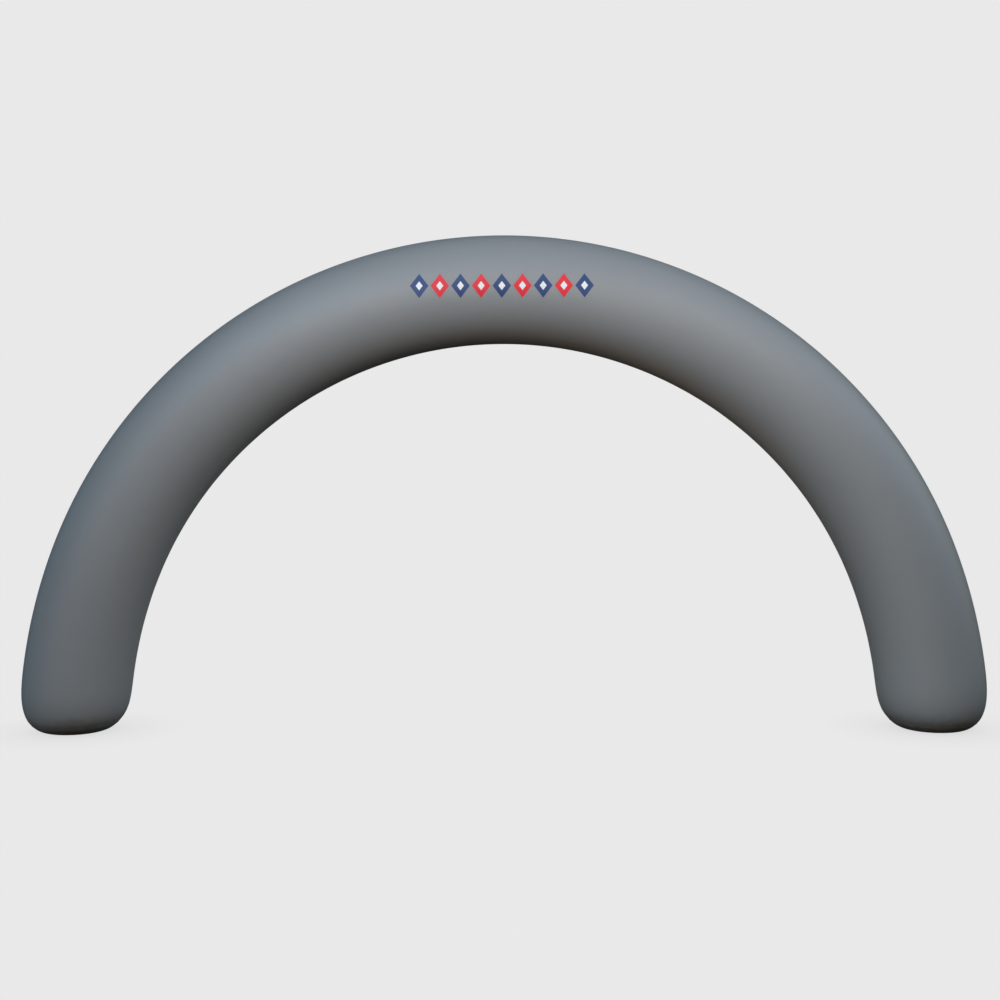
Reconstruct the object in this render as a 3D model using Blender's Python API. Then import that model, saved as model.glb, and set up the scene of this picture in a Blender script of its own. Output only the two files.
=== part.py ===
"""Inflatable arch: one air-filled cloth tube, bent to a half circle, that stands on two flat soles.

Metres, +Z up. The arch stands in the XZ plane and its front faces -Y. The origin is on the floor,
midway between the two feet.
"""

import math

import bmesh
import bpy
from mathutils import Matrix, Vector

# Driving dimensions
SPAN = 5.333  # between the centre lines of the two legs, at the springing
TUBE_RADIUS = 0.3335
LEG_HEIGHT = 0.069  # straight stretch between the floor and the springing of the half circle

# The feet: the tube closes in to a flat sole, and its centre line drifts outwards on the way down
SOLE_RADIUS = 0.171
CLOSE_HEIGHT = 0.405  # height below which the tube closes in
CLOSE_FULLNESS = 3.9  # higher keeps the wall upright for longer
CLOSE_ROUNDING = 0.57  # lower makes the edge of the sole rounder
DRIFT = 0.019  # outward drift of the centre line at the floor
DRIFT_HEIGHT = 1.0  # height below which it drifts

# Fineness of the faceted solid
RING_SIDES = 40
FOOT_RINGS = 12
LOWER_RINGS = 4  # between the top of the closing-in and the top of the drift
ARC_RINGS = 46  # between the two drifting stretches

ARC_RADIUS = SPAN / 2
HALF_LENGTH = LEG_HEIGHT + ARC_RADIUS * math.pi / 2
FRONT = Vector((0.0, -1.0, 0.0))

CLOTH_COLOUR = (0.24, 0.26, 0.28, 1.0)
CLOTH_ROUGHNESS = 0.55


def centre_line(run):
    """Point and upward direction of the right half's centre line, at a run from the floor."""
    turn = max(0.0, run - LEG_HEIGHT) / ARC_RADIUS
    rise = min(run, LEG_HEIGHT)
    drift = DRIFT * max(0.0, 1.0 - run / DRIFT_HEIGHT) ** 2
    x = ARC_RADIUS * math.cos(turn) + drift
    z = rise + ARC_RADIUS * math.sin(turn)
    return Vector((x, 0.0, z)), Vector((-math.sin(turn), 0.0, math.cos(turn)))


def tube_radius(run):
    """Radius of the tube at a run from the floor."""
    left = max(0.0, 1.0 - run / CLOSE_HEIGHT)
    opened = (1.0 - left**CLOSE_FULLNESS) ** CLOSE_ROUNDING
    return SOLE_RADIUS + (TUBE_RADIUS - SOLE_RADIUS) * opened


def foot_runs():
    """Runs of the rings that close in to the sole, set closer together near its round edge."""
    return [CLOSE_HEIGHT * (i / FOOT_RINGS) ** 2 for i in range(FOOT_RINGS)]


def even_runs(low, high, count):
    """Evenly spaced runs from low up to high, without high itself."""
    return [low + (high - low) * i / count for i in range(count)]


def half_runs():
    """Runs of all the rings of one half, from the sole to the crown."""
    lower = even_runs(CLOSE_HEIGHT, DRIFT_HEIGHT, LOWER_RINGS)
    upper = even_runs(DRIFT_HEIGHT, HALF_LENGTH, ARC_RINGS // 2)
    return foot_runs() + lower + upper + [HALF_LENGTH]


def ring_matrix(run, side):
    """Place of a ring on the right (side 1) or left (side -1) half.

    Its local Z runs along the tube, from the right foot over to the left one, and its local X points
    out of the half circle.
    """
    point, along = centre_line(run)
    if side < 0:
        point.x = -point.x
        along.z = -along.z
    outward = along.cross(FRONT)
    turned = Matrix((outward, along.cross(outward), along)).transposed().to_4x4()
    return Matrix.Translation(point) @ turned


def add_ring(bm, run, side):
    """One round of the tube's skin, as the edges of a circle."""
    circle = bmesh.ops.create_circle(
        bm, segments=RING_SIDES, radius=tube_radius(run), matrix=ring_matrix(run, side)
    )
    return list({edge for vert in circle["verts"] for edge in vert.link_edges})


def build_arch():
    """The whole tube as one closed solid, foot to foot over the crown."""
    bm = bmesh.new()
    runs = half_runs()
    stations = [(run, 1) for run in runs] + [(run, -1) for run in reversed(runs[:-1])]
    rings = [add_ring(bm, run, side) for run, side in stations]
    for lower, upper in zip(rings, rings[1:]):
        bmesh.ops.bridge_loops(bm, edges=lower + upper)
    for sole in (rings[0], rings[-1]):
        bmesh.ops.edgeloop_fill(bm, edges=sole)
    bmesh.ops.recalc_face_normals(bm, faces=bm.faces)
    mesh = bpy.data.meshes.new("arch")
    bm.to_mesh(mesh)
    bm.free()
    mesh.shade_smooth()
    arch = bpy.data.objects.new("arch", mesh)
    bpy.context.scene.collection.objects.link(arch)
    return arch


def cloth():
    """Grey coated cloth."""
    material = bpy.data.materials.new("grey_cloth")
    material.use_nodes = True
    shader = material.node_tree.nodes["Principled BSDF"]
    shader.inputs["Base Color"].default_value = CLOTH_COLOUR
    shader.inputs["Roughness"].default_value = CLOTH_ROUGHNESS
    shader.inputs["Metallic"].default_value = 0.0
    return material


def main():
    """Empties the scene and builds the arch."""
    for old in list(bpy.data.objects):
        bpy.data.objects.remove(old)
    arch = build_arch()
    arch.data.materials.append(cloth())


main()
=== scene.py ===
"""Looks of the inflatable arch: its cloth skin, the stitching of its seams, and a plain studio.

Metres, +Z up, in the frame of the packed model. The arch stands in the XZ plane and its front
faces -Y.
"""

import math

import bpy
from bpy.props import (
    FloatProperty,
    FloatVectorProperty,
    IntProperty,
    PointerProperty,
)
from mathutils import Matrix, Vector


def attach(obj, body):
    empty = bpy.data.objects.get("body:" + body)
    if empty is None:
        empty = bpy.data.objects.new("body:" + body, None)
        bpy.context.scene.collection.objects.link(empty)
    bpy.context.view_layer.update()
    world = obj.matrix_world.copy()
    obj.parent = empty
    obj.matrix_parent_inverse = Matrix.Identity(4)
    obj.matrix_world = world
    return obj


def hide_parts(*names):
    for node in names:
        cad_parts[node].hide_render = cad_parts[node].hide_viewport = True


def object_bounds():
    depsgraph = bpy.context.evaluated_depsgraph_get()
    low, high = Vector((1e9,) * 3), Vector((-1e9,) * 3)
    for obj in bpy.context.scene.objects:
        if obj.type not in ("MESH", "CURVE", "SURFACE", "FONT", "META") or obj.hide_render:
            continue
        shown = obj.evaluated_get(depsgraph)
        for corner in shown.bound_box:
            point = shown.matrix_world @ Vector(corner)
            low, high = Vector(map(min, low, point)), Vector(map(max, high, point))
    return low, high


bl_info = {
    "name": "Inflatable Arch",
    "version": (1, 0, 0),
    "blender": (4, 5, 0),
    "location": "3D View > Sidebar > Arch",
    "description": "Builds an air-filled cloth arch with sewn seams, and a studio to show it in",
    "category": "Object",
}

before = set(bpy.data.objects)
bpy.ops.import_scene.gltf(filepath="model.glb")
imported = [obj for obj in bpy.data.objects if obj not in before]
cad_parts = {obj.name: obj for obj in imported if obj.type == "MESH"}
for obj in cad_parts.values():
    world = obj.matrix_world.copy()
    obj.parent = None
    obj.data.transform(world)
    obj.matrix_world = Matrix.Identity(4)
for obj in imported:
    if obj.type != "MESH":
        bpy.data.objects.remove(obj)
BOX_LOW, BOX_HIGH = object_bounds()
BODY = "root"
NODE = "arch"

CLOTH_MAP = "cloth_metres"  # UV map of the skin: along the tube and round it, in metres
SEAM_DISTANCE = "seam_distance"  # attribute of the skin: metres to the nearest seam

# Rings and sides of the skin's mesh
HALF_RINGS = 320
SOLE_RINGS = 6
FOOT_SHARE = 0.25  # share of a half's rings that stand in its foot
WALL_SHRINK = 0.999  # a ring with a shrink above this stands in the wall, and not in a sole
FRONT_SIDES = 94
BACK_SIDES = 56
SEAM_CROWDING = 0.8  # 0 spaces the sides evenly, 1 crowds them at the seams
MERGE_DISTANCE = 0.0001

# Relief of the seams
SEAM_EDGE = 0.0014  # half the width over which a felled seam steps down to the cloth
SEAM_START = 0.02  # run above the sole seam over which a lengthwise seam begins
SOLE_SLOPE = 1.4  # length of cloth for each metre of run, where the sole seam lies
RIPPLE_LOW = 0.25  # the ripples of the lengthwise seams begin between these two runs
RIPPLE_HIGH = 0.60
RIPPLE_START = 0.012  # distance from a seam over which its ripples rise
RIPPLE_SLANT = 3.0  # how fast a ripple changes away from its seam
RIPPLE_STEP = 7.0  # step through the noise between the ripples at the two sides of a panel
GATHERS = 3.0  # size of the noise circle that gives the ripples round a sole

# Stitches
SEAM_SAMPLES = 800  # points of a stitch row's path before it is divided into stitches
STITCH_RISE = 0.25  # height of a stitch's middle above the cloth, in widths of its thread

# Colour and surface of the cloth
FADE_SCALE = 1.3  # faded patches in a metre
SLUBS_ALONG = 6.0  # thick places of the yarn in a metre, along the tube and round it
SLUBS_ROUND = 60.0
FADE_AMOUNT = 0.9  # how far patches, slubs and weave each pull towards the faded colour
SLUB_AMOUNT = 0.25
WEAVE_AMOUNT = 0.10
SEAM_SHADE_WIDTH = 0.008  # painted shade of a seam's fold: the cloth darkens a little towards the thread's colour along a seam
SEAM_SHADE_AMOUNT = 0.16
DRAPE_SCALE = 22.0  # soft dents of the coating in a metre
DRAPE_HEIGHT = 0.0003
CLOTH_ROUGHNESS = 0.50
FADE_ROUGHNESS = 0.06  # how far fading changes that, what dirt adds and what ink takes off
DIRT_ROUGHNESS = 0.2
INK_ROUGHNESS = 0.05

# Dirt on the feet, with painted shade: darker towards the floor
DIRT_AND_SHADE_SCALE = 14.0  # patches of dirt and painted shade in a metre
DIRT_AND_SHADE_PATCHES = 0.8  # how uneven the dirt and painted shade are
DIRT_AND_SHADE_CURVE = 1.2  # higher makes it thinner

# Edges of a lozenge and of its middle, as shares of the way from its centre to its outline
INK_EDGE = (0.985, 1.015)
MIDDLE_EDGE = (0.36, 0.39)
INK_THINNING = 0.015  # the ink covers less by up to twice this between the yarns

# Surface of the thread
FIBRE_SCALE = 900.0  # fibres in a metre
FIBRE_AMOUNT = 0.9
FIBRE_HEIGHT = 0.00006
THREAD_ROUGHNESS = 0.55
FIBRE_ROUGHNESS = 0.1

# Studio
FLOOR_RADIUS = 150.0
FLOOR_SIDES = 96
FLOOR_LEVEL = -0.0005  # just under the soles
SHADE_SAMPLES = 8
SENSOR_WIDTH = 36.0  # millimetres
FAR_DISTANCE = 20.0  # where the far lights stand, though only their direction counts
ORIGIN = (0.0, 0.0, 0.0)
UPPER_ARCH = (0.0, 0.0, 1.9)
RIGHT_LEG = (2.6, 0.0, 0.8)

# name, place, what it faces, size, watts of red, green and blue
SOFT_BOXES = (
    ("front_box", (0.0, -4.0, 3.0), UPPER_ARCH, 3.0, (44.4, 39.9, 33.6)),
    ("right_box", (2.5, -3.0, 4.2), UPPER_ARCH, 2.0, (46.0, 45.4, 45.5)),
    ("left_box", (-1.2, -3.5, 3.5), UPPER_ARCH, 2.0, (33.9, 37.6, 44.3)),
    ("inner_box", (0.0, 0.4, 0.5), RIGHT_LEG, 0.8, (2.1, 1.2, 0.3)),
)
# name, degrees from the front towards the right, degrees up, degrees wide, strength of each colour
FAR_LIGHTS = (
    ("sky_left", -35, 35, 40, (0.464, 0.909, 1.287)),
    ("low_left", -25, 15, 40, (0.452, 0.218, 0.000)),
    ("sky_right", 90, 30, 40, (0.458, 0.632, 0.809)),
    ("side_right", 110, 15, 40, (0.289, 0.283, 0.224)),
    ("side_left", -110, 15, 40, (0.049, 0.083, 0.105)),
)
# the same, for lights from behind that raise no highlight along the arch's edges
BACK_LIGHTS = (
    ("back", 180, 12, 20, (1.300, 1.300, 1.300)),
    ("back_right", 165, 5, 20, (0.400, 0.400, 0.400)),
    ("back_left", -165, 5, 20, (0.400, 0.400, 0.400)),
)


# Sizes and colours --------------------------------------------------------------------------------


def length(name, description, default):
    """A length in metres."""
    return FloatProperty(
        name=name, description=description, default=default, unit="LENGTH", precision=4
    )


def share(name, description, default):
    """A number from 0 to 1."""
    return FloatProperty(
        name=name, description=description, default=default, min=0.0, max=1.0, subtype="FACTOR"
    )


def number(name, description, default):
    """A plain number."""
    return FloatProperty(name=name, description=description, default=default)


def whole(name, description, default):
    """A whole number."""
    return IntProperty(name=name, description=description, default=default, min=1)


def colour(name, description, default):
    """A colour in linear light."""
    return FloatVectorProperty(
        name=name, description=description, default=default, size=3, subtype="COLOR"
    )


def angle(name, description, degrees):
    """An angle, given in degrees."""
    return FloatProperty(
        name=name, description=description, default=math.radians(degrees), subtype="ANGLE"
    )


class TubeSizes(bpy.types.PropertyGroup):
    """Sizes of the filled tube."""

    span: length("Span", "Between the centre lines of the two legs", 5.333)
    tube_radius: length("Tube Radius", "Radius of the filled tube", (BOX_HIGH.y - BOX_LOW.y) / 2)
    top: length("Top", "Height of the crown above the floor", BOX_HIGH.z)
    sole_radius: length("Sole Radius", "Radius of the flat sole under each foot", 0.171)
    close_height: length("Close Height", "Height below which the tube closes in to its sole", 0.405)
    close_fullness: number("Close Fullness", "Higher keeps the foot's wall upright for longer", 3.9)
    close_rounding: number("Close Rounding", "Lower makes the edge of the sole rounder", 0.57)
    drift: length("Drift", "How far the feet splay outwards at the floor", 0.019)
    drift_height: length("Drift Height", "Height below which the feet splay", 1.0)


class SeamSizes(bpy.types.PropertyGroup):
    """Sizes of the seams."""

    setback: angle("Set-back", "How far the lengthwise seams lie behind the widest line", 22.0)
    width: length("Width", "Width of a felled seam", 0.012)
    rise: length("Rise", "How far the folded seam stands proud of the cloth", 0.0009)
    sole_height: length("Sole Seam Height", "Height of the seam that joins each sole", 0.045)
    trough_depth: length("Trough Depth", "How deep the thread draws the cloth in", 0.0016)
    trough_width: length("Trough Width", "Reach of that trough to each side", 0.035)


class RippleSizes(bpy.types.PropertyGroup):
    """Sizes of the ripples beside the seams."""

    ripple_height: length("Ripple Height", "Height of the ripples beside a seam", 0.0022)
    ripple_length: length("Ripple Length", "Length of one ripple along a seam", 0.12)
    ripple_reach: length("Ripple Reach", "How far the ripples reach from a seam", 0.06)
    seed: number("Seed", "Another number gives other ripples", 3.0)


class StitchSizes(bpy.types.PropertyGroup):
    """Sizes of the stitches."""

    pitch: length("Stitch Pitch", "From one stitch to the next", 0.0055)
    stitch_length: length("Stitch Length", "Length of one stitch", 0.0042)
    thread_width: length("Thread Width", "Thickness of the thread", 0.0010)
    row_offset: length("Row Offset", "From the middle of a seam to each of its two rows", 0.0034)


class ClothLook(bpy.types.PropertyGroup):
    """Colours and surface of the cloth."""

    dye: colour("Dye", "Colour of the cloth", (0.235, 0.245, 0.256))
    faded: colour("Faded", "Colour where light and handling have faded it", (0.262, 0.272, 0.281))
    # the scuff colour, height and depth give dirt and painted shade, darker towards the floor
    scuff_and_shade: colour("Scuff", "Dirt that the feet pick up", (0.095, 0.090, 0.085))
    scuff_and_shade_height: length("Scuff Height", "How high the dirt reaches", 0.14)
    scuff_and_shade_depth: share("Scuff Depth", "How much of the cloth the dirt covers at the floor", 0.75)
    thread: colour("Thread", "Sewing thread", (0.165, 0.172, 0.182))
    yarn_pitch: length("Yarn Pitch", "From one yarn of the weave to the next", 0.0011)
    weave_height: length("Weave Height", "Height of the yarns", 0.00012)


class PrintLook(bpy.types.PropertyGroup):
    """The row of lozenges printed on the crown's front."""

    first: colour("First Ink", "Ink of every other lozenge", (0.004, 0.041, 0.165))
    second: colour("Second Ink", "Ink of the lozenges between", (0.720, 0.004, 0.022))
    middle: colour("Middle Ink", "Ink of the small lozenge inside each one", (0.800, 0.800, 0.800))
    lozenges: whole("Lozenges", "How many stand in the row", 9)
    width: length("Width", "Length of the whole row", 1.11)
    height: length("Height", "Height of a lozenge", 0.145)
    level: length("Level", "Height of the row's middle above the floor", 2.7215)
    gap: length("Gap", "Bare cloth between two lozenges", 0.012)


class StudioLook(bpy.types.PropertyGroup):
    """Camera, floor and light."""

    paper: colour("Paper", "Floor and background", (0.815, 0.815, 0.815))
    ambient: share("Ambient", "Light that comes from everywhere", 0.03)
    shade_depth: share("Floor Shade", "Darkening of the floor right beside the feet", 0.15)
    shade_reach: length("Floor Shade Reach", "How far from the feet that darkening reaches", 0.4)
    lens: number("Lens", "Focal length in millimetres", 49.426)
    distance: length("Camera Distance", "In front of the arch", 8.554)
    height: length("Camera Height", "Above the floor", 1.6838)
    side: length("Camera Side", "To the right of the arch's middle", 0.0233)
    pitch: angle("Camera Pitch", "Downwards", 1.684)
    yaw: angle("Camera Yaw", "Towards the right", -0.269)
    roll: angle("Camera Roll", "Turn about the line of sight", -0.195)


# Node building ------------------------------------------------------------------------------------


class Wire:
    """A number that flows through a node tree. Arithmetic on it adds Math nodes to the tree."""

    def __init__(self, tree, socket):
        self.tree = tree
        self.socket = socket

    def math(self, operation, *others):
        return calculate(self.tree, operation, self, *others)

    def __add__(self, other):
        return self.math("ADD", other)

    def __sub__(self, other):
        return self.math("SUBTRACT", other)

    def __rsub__(self, other):
        return calculate(self.tree, "SUBTRACT", other, self)

    def __mul__(self, other):
        return self.math("MULTIPLY", other)

    def __truediv__(self, other):
        return self.math("DIVIDE", other)

    def __pow__(self, other):
        return self.math("POWER", other)

    def __neg__(self):
        return self.math("MULTIPLY", -1.0)

    def __abs__(self):
        return self.math("ABSOLUTE")

    __radd__ = __add__
    __rmul__ = __mul__

    def at_least(self, other):
        return self.math("MAXIMUM", other)

    def at_most(self, other):
        return self.math("MINIMUM", other)

    def above(self, other):
        return self.math("GREATER_THAN", other)

    def sine(self):
        return self.math("SINE")

    def cosine(self):
        return self.math("COSINE")

    def clipped(self):
        """This number, held between 0 and 1."""
        return self.at_least(0.0).at_most(1.0)

    def bell(self, width):
        """1 where this number is 0, falling smoothly to nothing over the width."""
        near = self / width
        return (-(near * near)).math("EXPONENT")


def feed(socket, value):
    """Links a wire or a socket to a socket, or sets a plain value on it."""
    if isinstance(value, Wire):
        value = value.socket
    if isinstance(value, bpy.types.NodeSocket):
        socket.id_data.links.new(value, socket)
    else:
        socket.default_value = value


def live(sockets, name):
    """One of a node's sockets, by name or index. Some nodes keep hidden ones of the same name."""
    if isinstance(name, int):
        return sockets[name]
    return next(socket for socket in sockets if socket.name == name and socket.enabled)


def add_node(tree, kind, inputs=None, **settings):
    """Adds one node with its settings, and feeds its inputs."""
    node = tree.nodes.new(kind)
    for name, value in settings.items():
        setattr(node, name, value)
    for name, value in (inputs or {}).items():
        feed(live(node.inputs, name), value)
    return node


def calculate(tree, operation, *values):
    """A Math node, as a wire."""
    node = add_node(tree, "ShaderNodeMath", dict(enumerate(values)), operation=operation)
    return Wire(tree, node.outputs[0])


def smooth_step(tree, value, low, high, start=0.0, end=1.0):
    """A smooth step from start, at low, to end, at high."""
    limits = {"Value": value, "From Min": low, "From Max": high, "To Min": start, "To Max": end}
    node = add_node(tree, "ShaderNodeMapRange", limits, interpolation_type="SMOOTHSTEP")
    return Wire(tree, node.outputs["Result"])


def combine(tree, x, y, z):
    """Three numbers as one vector."""
    return add_node(tree, "ShaderNodeCombineXYZ", {"X": x, "Y": y, "Z": z}).outputs[0]


def separate(tree, vector):
    """A vector's three numbers."""
    node = add_node(tree, "ShaderNodeSeparateXYZ", {0: vector})
    return [Wire(tree, socket) for socket in node.outputs]


def noise(tree, vector, scale, detail=0.0):
    """Soft noise, about -0.5 to 0.5."""
    inputs = {"Vector": vector, "Scale": scale, "Detail": detail}
    return Wire(tree, add_node(tree, "ShaderNodeTexNoise", inputs).outputs[0]) - 0.5


# The tube, for the geometry trees -----------------------------------------------------------------


def titled(group):
    """Values of a property group's fields, by their titles."""
    rna = group.bl_rna.properties
    return {rna[field].name: getattr(group, field) for field in group.__annotations__}


def tube_values(sizes):
    """The sizes that give a point of the tube."""
    values = titled(sizes)
    arc_radius = values.pop("Span") / 2
    values["Arc Radius"] = arc_radius
    values["Leg Height"] = values.pop("Top") - sizes.tube_radius - arc_radius
    return values


def new_tree(name, inputs, outputs):
    """A geometry tree, its input wires by title, and its output node."""
    tree = bpy.data.node_groups.new(name, "GeometryNodeTree")
    for title in inputs:
        kind = "NodeSocketMaterial" if title == "Material" else "NodeSocketFloat"
        tree.interface.new_socket(title, in_out="INPUT", socket_type=kind)
    for title, kind in outputs.items():
        tree.interface.new_socket(title, in_out="OUTPUT", socket_type=kind)
    given = tree.nodes.new("NodeGroupInput")
    result = tree.nodes.new("NodeGroupOutput")
    return tree, {title: Wire(tree, given.outputs[title]) for title in inputs}, result


def tube_point_group(sizes):
    """Group that gives a point of the tube.

    Run is the way along the centre line from the right sole. Angle turns from the outer line of
    the arch towards its back. Shrink draws the point in to the middle of the sole, and Lift moves
    it out.
    """
    names = ["Run", "Angle", "Shrink", "Lift", *tube_values(sizes)]
    vector = "NodeSocketVector"
    outputs = {"Position": vector, "Outward": vector, "Radius": "NodeSocketFloat"}
    tree, given, result = new_tree("Tube Point", names, outputs)
    arc_radius = given["Arc Radius"]
    leg = given["Leg Height"]
    half_length = leg + arc_radius * (math.pi / 2)
    side = 1.0 - given["Run"].above(half_length) * 2.0
    run = half_length - abs(given["Run"] - half_length)

    turn = (run - leg).at_least(0.0) / arc_radius
    splay = (1.0 - run / given["Drift Height"]).at_least(0.0)
    across = arc_radius * turn.cosine() + given["Drift"] * splay * splay
    height = run.at_most(leg) + arc_radius * turn.sine()

    left = (1.0 - run / given["Close Height"]).at_least(0.0)
    opened = (1.0 - left ** given["Close Fullness"]) ** given["Close Rounding"]
    radius = given["Sole Radius"] + (given["Tube Radius"] - given["Sole Radius"]) * opened
    reach = (radius + given["Lift"]) * given["Shrink"]

    back = given["Angle"].sine()
    out_x = given["Angle"].cosine() * turn.cosine()
    out_z = given["Angle"].cosine() * turn.sine()
    position = combine(tree, side * (across + reach * out_x), reach * back, height + reach * out_z)
    feed(result.inputs["Position"], position)
    feed(result.inputs["Outward"], combine(tree, side * out_x, back, out_z))
    feed(result.inputs["Radius"], radius)
    return tree


def tube_point(group, given, run, turned, shrink=1.0, lift=0.0):
    """A Tube Point node in a tree, fed with the tree's own sizes."""
    tree = given["Arc Radius"].tree
    node = add_node(tree, "GeometryNodeGroup", node_tree=group)
    for socket in node.inputs:
        if socket.name in given:
            feed(socket, given[socket.name])
    for name, value in {"Run": run, "Angle": turned, "Shrink": shrink, "Lift": lift}.items():
        feed(node.inputs[name], value)
    return node


def seam_relief(given, distance):
    """Height of the cloth at a distance from a seam: the folded seam stands in a shallow trough."""
    half = given["Width"] / 2.0
    fold = smooth_step(half.tree, distance, half - SEAM_EDGE, half + SEAM_EDGE, 1.0, 0.0)
    return given["Rise"] * fold - given["Trough Depth"] * distance.bell(given["Trough Width"])


def finish_tree(result, geometry, material):
    """Ends a tree in Realize Instances and Set Material."""
    tree = result.id_data
    real = add_node(tree, "GeometryNodeRealizeInstances", {"Geometry": geometry})
    surface = {"Geometry": real.outputs[0], "Material": material}
    clad = add_node(tree, "GeometryNodeSetMaterial", surface)
    feed(result.inputs["Geometry"], clad.outputs[0])


def grow(name, tree, values):
    """An object with the mesh that a geometry tree makes from the values."""
    host = bpy.data.objects.new(name, bpy.data.meshes.new(name))
    bpy.context.scene.collection.objects.link(host)
    modifier = host.modifiers.new(name, "NODES")
    modifier.node_group = tree
    for item in tree.interface.items_tree:
        if item.in_out == "INPUT":
            modifier[item.identifier] = values[item.name]
    graph = bpy.context.evaluated_depsgraph_get()
    mesh = bpy.data.meshes.new_from_object(
        host.evaluated_get(graph), preserve_all_data_layers=True, depsgraph=graph
    )
    if not mesh.polygons:
        raise RuntimeError(f"{name}: the geometry tree made no faces")
    host.modifiers.remove(modifier)
    empty = host.data
    host.data = mesh
    bpy.data.meshes.remove(empty)
    mesh.name = name
    mesh.materials.clear()
    mesh.materials.append(values["Material"])
    return host


# The skin -----------------------------------------------------------------------------------------


def skin_runs(given, ring):
    """Run of a ring, its run from the nearer sole, and its shrink.

    From that sole on, the first rings lie in the sole, the next stand in the foot, and the rest in
    the arc.
    """
    steps = HALF_RINGS + SOLE_RINGS - abs(ring)
    shrink = (steps / SOLE_RINGS).at_most(1.0)
    part = (steps - SOLE_RINGS).at_least(0.0) / (HALF_RINGS * FOOT_SHARE)
    foot_part = part.at_most(1.0)
    upper_part = (part - 1.0).at_least(0.0) / (1.0 / FOOT_SHARE - 1.0)
    half_length = given["Leg Height"] + given["Arc Radius"] * (math.pi / 2)
    upper_length = half_length - given["Close Height"]
    half_run = given["Close Height"] * foot_part * foot_part + upper_length * upper_part
    run = half_length + (half_length - half_run) * ring.math("SIGN")
    return run, half_run, shrink


def skin_turn(given, column):
    """Angle of a side, its place in its panel from seam to seam, and the panel's angle.

    The front panel runs from the outer seam to the inner one, and the back panel on from there.
    """
    setback = given["Set-back"]
    step = column + (FRONT_SIDES + BACK_SIDES) / 2
    on_back = step.above(FRONT_SIDES + 0.5)
    on_front = 1.0 - on_back
    along = on_front * step / FRONT_SIDES + on_back * (step - FRONT_SIDES) / BACK_SIDES
    eased = along - (along * (2 * math.pi)).sine() * (SEAM_CROWDING / (2 * math.pi))
    panel = on_front * (math.pi + setback * 2.0) + on_back * (math.pi - setback * 2.0)
    start = setback - on_back * (math.pi + setback * 2.0)
    return start - panel * eased, eased, panel


def seam_ripples(given, run, half_run, distance, start):
    """Ripples along a lengthwise seam. Another start gives other ripples."""
    tree = run.tree
    across = distance * RIPPLE_SLANT
    ripple = noise(tree, combine(tree, run / given["Ripple Length"], across, start), 1.0)
    ripple = ripple * distance.bell(given["Ripple Reach"])
    ripple = ripple * smooth_step(tree, half_run, RIPPLE_LOW, RIPPLE_HIGH)
    return ripple * smooth_step(tree, distance, 0.0, RIPPLE_START)


def sole_ripples(given, run, turned, distance):
    """Ripples round the seam of a sole."""
    tree = run.tree
    x = turned.cosine() * GATHERS
    y = turned.sine() * GATHERS
    gather = noise(tree, combine(tree, x, y, run + given["Seed"]), 1.0)
    return gather * distance.bell(given["Ripple Reach"])


def skin_tree(values, group):
    """Geometry tree of the skin: a grid of rings and sides, laid on the tube and closed."""
    tree, given, result = new_tree("Arch Skin", values, {"Geometry": "NodeSocketGeometry"})
    rings = 2 * (HALF_RINGS + SOLE_RINGS)
    sides = FRONT_SIDES + BACK_SIDES
    counts = {"Size X": rings, "Size Y": sides, "Vertices X": rings + 1, "Vertices Y": sides + 1}
    grid = add_node(tree, "GeometryNodeMeshGrid", counts)
    ring, column, _ = separate(tree, tree.nodes.new("GeometryNodeInputPosition").outputs[0])
    run, half_run, shrink = skin_runs(given, ring)
    turned, eased, panel = skin_turn(given, column)

    radius = Wire(tree, tube_point(group, given, run, turned).outputs["Radius"])
    sole_seam = given["Sole Seam Height"]
    long_distance = eased.at_most(1.0 - eased) * panel * radius
    sole_distance = abs(half_run - sole_seam) * SOLE_SLOPE
    begun = smooth_step(tree, half_run, sole_seam, sole_seam + SEAM_START)
    relief = seam_relief(given, long_distance) * begun + seam_relief(given, sole_distance)

    start = eased.above(0.5) * RIPPLE_STEP + panel + given["Seed"]
    ripple = seam_ripples(given, run, half_run, long_distance, start)
    gather = sole_ripples(given, run, turned, sole_distance)
    lift = relief + given["Ripple Height"] * (ripple + gather)
    shaped = tube_point(group, given, run, turned, shrink, lift * shrink.above(WALL_SHRINK))

    cloth_place = combine(tree, run, -turned * given["Tube Radius"], 0.0)
    mapped = add_node(
        tree,
        "GeometryNodeStoreNamedAttribute",
        {"Geometry": grid.outputs["Mesh"], "Name": CLOTH_MAP, "Value": cloth_place},
        data_type="FLOAT2",
        domain="CORNER",
    )
    marked = add_node(
        tree,
        "GeometryNodeStoreNamedAttribute",
        {
            "Geometry": mapped.outputs[0],
            "Name": SEAM_DISTANCE,
            "Value": long_distance.at_most(sole_distance),
        },
    )
    laid = add_node(
        tree,
        "GeometryNodeSetPosition",
        {"Geometry": marked.outputs[0], "Position": shaped.outputs["Position"]},
    )
    closed = add_node(
        tree,
        "GeometryNodeMergeByDistance",
        {"Geometry": laid.outputs[0], "Distance": MERGE_DISTANCE},
    )
    smooth = add_node(tree, "GeometryNodeSetShadeSmooth", {"Geometry": closed.outputs[0]})
    finish_tree(result, smooth.outputs[0], given["Material"])
    return tree


def build_skin(scene):
    """The cloth skin, one closed mesh."""
    values = tube_values(scene.tube_sizes) | titled(scene.seam_sizes) | titled(scene.ripple_sizes)
    values["Material"] = cloth_material(scene.cloth_look, scene.print_look)
    group = tube_point_group(scene.tube_sizes)
    skin = grow("arch_skin", skin_tree(values, group), values)
    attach(skin, BODY)
    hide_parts(NODE)


# The stitches -------------------------------------------------------------------------------------


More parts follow.
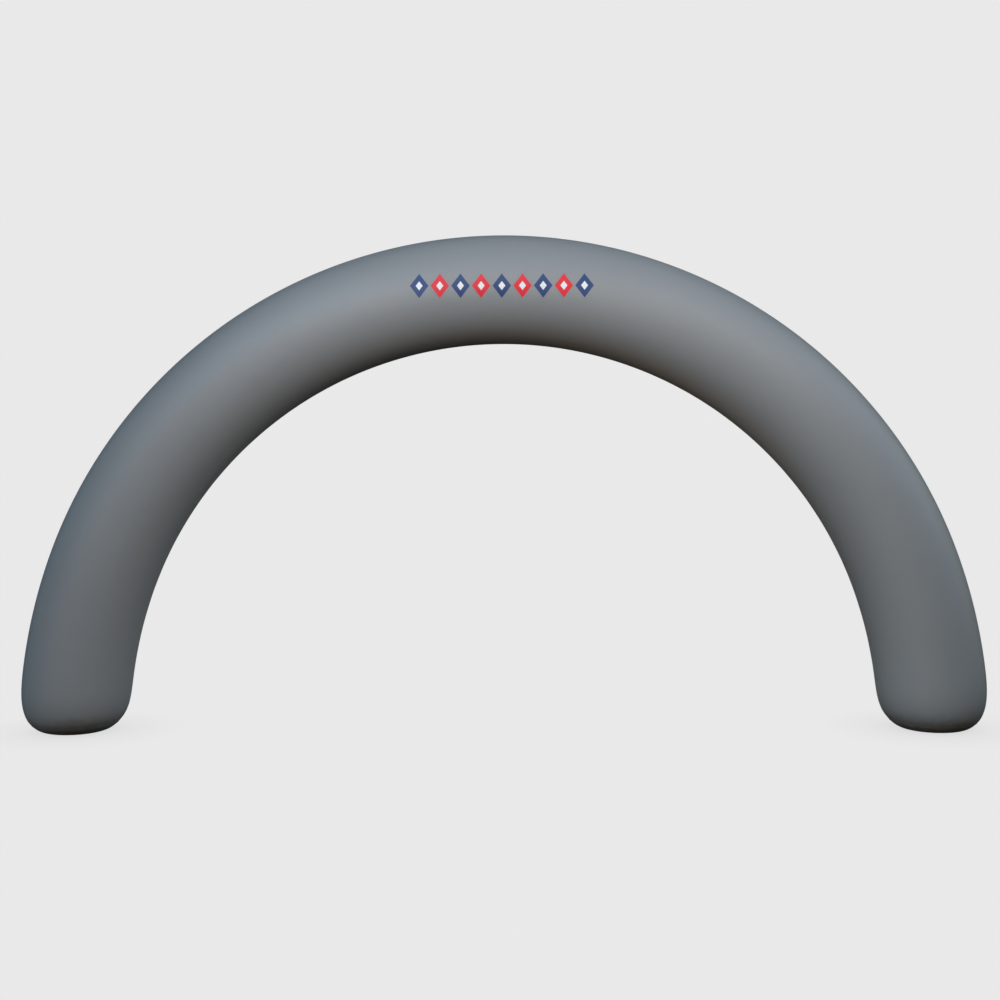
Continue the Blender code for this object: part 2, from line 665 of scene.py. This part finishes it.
def stitch_row(group, given, runs, turns):
    """Points of one row of stitches, between two runs and two angles, and how each one faces."""
    tree = given["Arc Radius"].tree
    line = add_node(tree, "GeometryNodeMeshLine", {"Count": SEAM_SAMPLES})
    index = Wire(tree, tree.nodes.new("GeometryNodeInputIndex").outputs[0])
    way = index / (SEAM_SAMPLES - 1)
    run = runs[0] + (runs[1] - runs[0]) * way
    turned = turns[0] + (turns[1] - turns[0]) * way
    lift = seam_relief(given, given["Row Offset"]) + given["Thread Width"] * STITCH_RISE
    point = tube_point(group, given, run, turned, lift=lift)
    held = tree.nodes.new("GeometryNodeCaptureAttribute")
    held.capture_items.new("VECTOR", "Outward")
    feed(live(held.inputs, "Geometry"), line.outputs[0])
    feed(live(held.inputs, "Outward"), point.outputs["Outward"])
    laid = add_node(
        tree,
        "GeometryNodeSetPosition",
        {"Geometry": held.outputs["Geometry"], "Position": point.outputs["Position"]},
    )
    curve = add_node(tree, "GeometryNodeMeshToCurve", {"Mesh": laid.outputs[0]})
    spacing = {"Curve": curve.outputs[0], "Length": given["Stitch Pitch"]}
    spaced = add_node(tree, "GeometryNodeResampleCurve", spacing, mode="LENGTH")
    tangent = tree.nodes.new("GeometryNodeInputTangent").outputs[0]
    facing = add_node(
        tree,
        "FunctionNodeAxesToRotation",
        {"Primary Axis": held.outputs["Outward"], "Secondary Axis": tangent},
        primary_axis="Z",
        secondary_axis="X",
    )
    return spaced.outputs[0], facing.outputs[0]


def stitch_tree(values, group):
    """Geometry tree of the stitches: two rows along each lengthwise seam and round each sole."""
    tree, given, result = new_tree("Arch Stitches", values, {"Geometry": "NodeSocketGeometry"})
    bead = add_node(tree, "GeometryNodeMeshIcoSphere", {"Radius": 0.5, "Subdivisions": 1})
    thread = given["Thread Width"]
    scale = combine(tree, given["Stitch Length"], thread, thread)
    full = (given["Leg Height"] + given["Arc Radius"] * (math.pi / 2)) * 2.0
    low = given["Sole Seam Height"] + SEAM_START / 2
    joined = tree.nodes.new("GeometryNodeJoinGeometry")
    for offset in (given["Row Offset"], -given["Row Offset"]):
        beside = offset / given["Tube Radius"]
        outer = given["Set-back"] + beside
        inner = math.pi - given["Set-back"] + beside
        sole = given["Sole Seam Height"] + offset / SOLE_SLOPE
        far_sole = full - sole
        round_turn = (outer, outer + 2 * math.pi)
        rows = [
            ((low, full - low), (outer, outer)),
            ((low, full - low), (inner, inner)),
            ((sole, sole), round_turn),
            ((far_sole, far_sole), round_turn),
        ]
        for runs, turns in rows:
            points, facing = stitch_row(group, given, runs, turns)
            placing = {
                "Points": points,
                "Instance": bead.outputs[0],
                "Rotation": facing,
                "Scale": scale,
            }
            beads = add_node(tree, "GeometryNodeInstanceOnPoints", placing)
            feed(joined.inputs[0], beads.outputs[0])
    finish_tree(result, joined.outputs[0], given["Material"])
    return tree


def build_stitches(scene):
    """All the stitches of the seams, as one mesh."""
    values = tube_values(scene.tube_sizes) | titled(scene.seam_sizes) | titled(scene.stitch_sizes)
    values["Material"] = thread_material(scene.cloth_look)
    group = tube_point_group(scene.tube_sizes)
    stitches = grow("seam_stitches", stitch_tree(values, group), values)
    stitches.data.shade_smooth()
    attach(stitches, BODY)


# Materials ----------------------------------------------------------------------------------------


def new_material(name, **constants):
    """A material with its tree and its Principled shader, whose constants are set by name."""
    material = bpy.data.materials.new(name)
    material.use_nodes = True
    tree = material.node_tree
    shader = tree.nodes["Principled BSDF"]
    for title, value in constants.items():
        shader.inputs[title.replace("_", " ")].default_value = value
    return material, tree, shader


def opaque(value):
    """A plain colour with full alpha, or the socket that gives one."""
    return value if isinstance(value, bpy.types.NodeSocket) else (*value, 1.0)


def blend(tree, factor, first, second):
    """A colour between two colours."""
    inputs = {"Factor": factor, "A": opaque(first), "B": opaque(second)}
    node = add_node(tree, "ShaderNodeMix", inputs, data_type="RGBA")
    return live(node.outputs, "Result")


def bump(tree, height, distance, normal=None):
    """A bump of the given height in metres, on top of another normal."""
    node = add_node(tree, "ShaderNodeBump", {"Height": height, "Distance": distance})
    if normal is not None:
        feed(node.inputs["Normal"], normal)
    return node.outputs[0]


def foot_dirt_and_shade(tree, place, look):
    """How much dirt and painted shade cover a place: most of all at the floor, in patches, and none
    higher up.
    """
    height = separate(tree, place)[2]
    patches = noise(tree, place, DIRT_AND_SHADE_SCALE, detail=3.0)
    cover = (1.0 - height / look.scuff_and_shade_height + patches * DIRT_AND_SHADE_PATCHES).clipped()
    return cover**DIRT_AND_SHADE_CURVE * look.scuff_and_shade_depth


def printed_lozenges(tree, place, inks):
    """Masks of the printed row: the lozenges, every second one of them, and their small middles."""
    x, y, z = separate(tree, place)
    pitch = inks.width / inks.lozenges
    cell = (x / pitch + inks.lozenges / 2).math("FLOOR")
    from_middle = abs(x - (cell - (inks.lozenges - 1) / 2) * pitch) / ((pitch - inks.gap) / 2)
    reach = from_middle + abs(z - inks.level) / (inks.height / 2)
    in_row = cell.above(-0.5) * (inks.lozenges - 0.5 - cell).above(0.0) * (-y).above(0.0)
    body = smooth_step(tree, reach, *INK_EDGE, 1.0, 0.0) * in_row
    middle = smooth_step(tree, reach, *MIDDLE_EDGE, 1.0, 0.0) * in_row
    second = (cell / 2.0).math("FRACT").above(0.25)  # half of an odd number leaves 0.5
    return body, second, middle


def cloth_material(look, inks):
    """Grey coated cloth in a plain weave, faded in patches, with dirt and painted shade at the
    feet, and its print.
    """
    material, tree, shader = new_material(
        "coated_cloth", IOR=1.45, Specular_IOR_Level=0.5, Sheen_Weight=0.02, Sheen_Roughness=0.4
    )
    place = tree.nodes.new("ShaderNodeTexCoord").outputs["Object"]
    metres = add_node(tree, "ShaderNodeUVMap", uv_map=CLOTH_MAP).outputs[0]
    stored = add_node(tree, "ShaderNodeAttribute", attribute_name=SEAM_DISTANCE)
    seam = Wire(tree, stored.outputs["Fac"])

    u, v, _ = separate(tree, metres)
    weave = (u * (math.pi / look.yarn_pitch)).sine() * (v * (math.pi / look.yarn_pitch)).sine()
    patches = noise(tree, place, FADE_SCALE, detail=2.0)
    yarn_place = combine(tree, u * SLUBS_ALONG, v * SLUBS_ROUND, 0.0)
    slubs = noise(tree, yarn_place, 1.0, detail=1.0)
    shade = 0.5 + patches * FADE_AMOUNT + slubs * SLUB_AMOUNT + weave * WEAVE_AMOUNT
    cloth = blend(tree, shade.clipped(), look.dye, look.faded)
    # dirt and painted shade at the feet, darker towards the floor
    dirt_and_shade = foot_dirt_and_shade(tree, place, look)
    cloth = blend(tree, dirt_and_shade, cloth, look.scuff_and_shade)
    # painted shade along each seam, where its fold would shade the cloth
    seam_shade = seam.bell(SEAM_SHADE_WIDTH) * SEAM_SHADE_AMOUNT
    cloth = blend(tree, seam_shade, cloth, look.thread)

    body, second, middle = printed_lozenges(tree, place, inks)
    ink = blend(tree, second, inks.first, inks.second)
    ink = blend(tree, middle, ink, inks.middle)
    ink_cover = body * (1.0 - INK_THINNING + weave * INK_THINNING)
    feed(shader.inputs["Base Color"], blend(tree, ink_cover, cloth, ink))
    roughness = CLOTH_ROUGHNESS + patches * FADE_ROUGHNESS - body * INK_ROUGHNESS
    feed(shader.inputs["Roughness"], roughness + dirt_and_shade * DIRT_ROUGHNESS)
    drape = noise(tree, place, DRAPE_SCALE, detail=1.0)
    soft = bump(tree, drape, DRAPE_HEIGHT)
    feed(shader.inputs["Normal"], bump(tree, weave * 0.5 + 0.5, look.weave_height, soft))
    return material


def thread_material(look):
    """Spun polyester thread, a shade darker than the cloth, with the cloth's dirt and painted shade
    at the feet.
    """
    material, tree, shader = new_material("seam_thread", IOR=1.5, Specular_IOR_Level=0.4)
    place = tree.nodes.new("ShaderNodeTexCoord").outputs["Object"]
    fibres = noise(tree, place, FIBRE_SCALE, detail=1.0)
    shade = (0.5 + fibres * FIBRE_AMOUNT).clipped()
    spun = blend(tree, shade, look.thread, look.dye)
    # the same dirt and painted shade at the feet as on the cloth
    spun = blend(tree, foot_dirt_and_shade(tree, place, look), spun, look.scuff_and_shade)
    feed(shader.inputs["Base Color"], spun)
    feed(shader.inputs["Roughness"], THREAD_ROUGHNESS + fibres * FIBRE_ROUGHNESS)
    feed(shader.inputs["Normal"], bump(tree, fibres, FIBRE_HEIGHT))
    return material


# The studio ---------------------------------------------------------------------------------------


def paper_material(look):
    """Evenly lit paper, shaded a little where something stands close to it."""
    material, tree, shader = new_material("studio_paper")
    reach = {"Distance": look.shade_reach}
    near = add_node(tree, "ShaderNodeAmbientOcclusion", reach, samples=SHADE_SAMPLES)
    shade = tuple(channel * (1.0 - look.shade_depth) for channel in look.paper)
    glow = tree.nodes.new("ShaderNodeEmission")
    feed(glow.inputs["Color"], blend(tree, near.outputs["AO"], shade, look.paper))
    feed(tree.nodes["Material Output"].inputs["Surface"], glow.outputs[0])
    tree.nodes.remove(shader)
    return material


def build_floor(look):
    """A wide pale floor that throws no light on the arch."""
    bpy.ops.mesh.primitive_circle_add(
        vertices=FLOOR_SIDES,
        radius=FLOOR_RADIUS,
        fill_type="NGON",
        location=(0.0, 0.0, FLOOR_LEVEL),
    )
    floor = bpy.context.object
    floor.name = "studio_floor"
    floor.data.materials.append(paper_material(look))
    floor.visible_diffuse = False
    floor.visible_glossy = False


def build_world(scene, look):
    """Pale background for the camera, and a dim dome for everything else."""
    world = bpy.data.worlds.new("studio_dome")
    world.use_nodes = True
    scene.world = world
    tree = world.node_tree
    seen = tree.nodes.new("ShaderNodeLightPath").outputs["Is Camera Ray"]
    dim = (look.ambient,) * 3
    feed(tree.nodes["Background"].inputs["Color"], blend(tree, seen, dim, look.paper))


def add_lamp(scene, name, kind, place, target, strength, **settings):
    """A lamp at a place, turned to its target, with a strength for each colour."""
    data = bpy.data.lights.new(name, kind)
    brightest = max(strength)
    data.energy = brightest
    data.color = [channel / brightest for channel in strength]
    for setting, value in settings.items():
        setattr(data, setting, value)
    lamp = bpy.data.objects.new(name, data)
    scene.collection.objects.link(lamp)
    aim = (Vector(target) - Vector(place)).to_track_quat("-Z", "Y")
    lamp.matrix_world = Matrix.Translation(place) @ aim.to_matrix().to_4x4()
    return lamp


def add_far_lamp(scene, name, azimuth, elevation, width, strength):
    """A wide light from far off, from a number of degrees round from the front and up."""
    swing = Matrix.Rotation(math.radians(azimuth), 3, "Z")
    climb = Matrix.Rotation(math.radians(-elevation), 3, "X")
    place = swing @ climb @ Vector((0.0, -FAR_DISTANCE, 0.0))
    return add_lamp(scene, name, "SUN", place, ORIGIN, strength, angle=math.radians(width))


def build_lamps(scene):
    """Soft boxes before the arch and one inside it, and wide far lights all round."""
    for name, place, target, size, watts in SOFT_BOXES:
        lamp = add_lamp(scene, name, "AREA", place, target, watts, shape="SQUARE", size=size)
        lamp.visible_camera = False
    for row in FAR_LIGHTS:
        add_far_lamp(scene, *row)
    for row in BACK_LIGHTS:
        add_far_lamp(scene, *row).visible_glossy = False


def build_camera(scene, look):
    """The camera, in front of the arch."""
    data = bpy.data.cameras.new("studio_camera")
    data.lens = look.lens
    data.sensor_width = SENSOR_WIDTH
    data.sensor_fit = "HORIZONTAL"
    camera = bpy.data.objects.new("studio_camera", data)
    scene.collection.objects.link(camera)
    turn = Matrix.Rotation(-look.yaw, 4, "Z")
    tilt = Matrix.Rotation(math.pi / 2 - look.pitch, 4, "X")
    roll = Matrix.Rotation(look.roll, 4, "Z")
    place = Matrix.Translation((look.side, -look.distance, look.height))
    camera.matrix_world = place @ turn @ tilt @ roll
    scene.camera = camera


def build_studio(scene):
    """Floor, dome, lamps and camera."""
    look = scene.studio_look
    scene.view_settings.view_transform = "Standard"
    build_floor(look)
    build_world(scene, look)
    build_lamps(scene)
    build_camera(scene, look)


# The add-on ---------------------------------------------------------------------------------------


class ARCH_OT_skin(bpy.types.Operator):
    """Build the arch's cloth skin"""

    bl_idname = "arch.skin"
    bl_label = "Cloth Skin"

    def execute(self, context):
        build_skin(context.scene)
        return {"FINISHED"}


class ARCH_OT_stitches(bpy.types.Operator):
    """Sew the stitches of the seams"""

    bl_idname = "arch.stitches"
    bl_label = "Seam Stitches"

    def execute(self, context):
        build_stitches(context.scene)
        return {"FINISHED"}


class ARCH_OT_studio(bpy.types.Operator):
    """Set up the floor, the light and the camera"""

    bl_idname = "arch.studio"
    bl_label = "Studio"

    def execute(self, context):
        build_studio(context.scene)
        return {"FINISHED"}


class ARCH_PT_panel(bpy.types.Panel):
    """Sizes, colours and operators of the arch."""

    bl_idname = "ARCH_PT_panel"
    bl_label = "Inflatable Arch"
    bl_space_type = "VIEW_3D"
    bl_region_type = "UI"
    bl_category = "Arch"

    def draw(self, context):
        layout = self.layout
        for operator in OPERATORS:
            layout.operator(operator.bl_idname)
        for name, group in SETTINGS.items():
            box = layout.box()
            box.label(text=group.__doc__)
            for field in group.__annotations__:
                box.prop(getattr(context.scene, name), field)


OPERATORS = (ARCH_OT_skin, ARCH_OT_stitches, ARCH_OT_studio)
SETTINGS = {
    "tube_sizes": TubeSizes,
    "seam_sizes": SeamSizes,
    "ripple_sizes": RippleSizes,
    "stitch_sizes": StitchSizes,
    "cloth_look": ClothLook,
    "print_look": PrintLook,
    "studio_look": StudioLook,
}
CLASSES = (*SETTINGS.values(), *OPERATORS, ARCH_PT_panel)


def register():
    for item in CLASSES:
        bpy.utils.register_class(item)
    for name, group in SETTINGS.items():
        setattr(bpy.types.Scene, name, PointerProperty(type=group))


def unregister():
    for name in SETTINGS:
        delattr(bpy.types.Scene, name)
    for item in reversed(CLASSES):
        bpy.utils.unregister_class(item)


def main():
    """Builds the arch and its studio."""
    register()
    bpy.ops.arch.skin()
    bpy.ops.arch.stitches()
    bpy.ops.arch.studio()


if __name__ == "__main__":
    main()
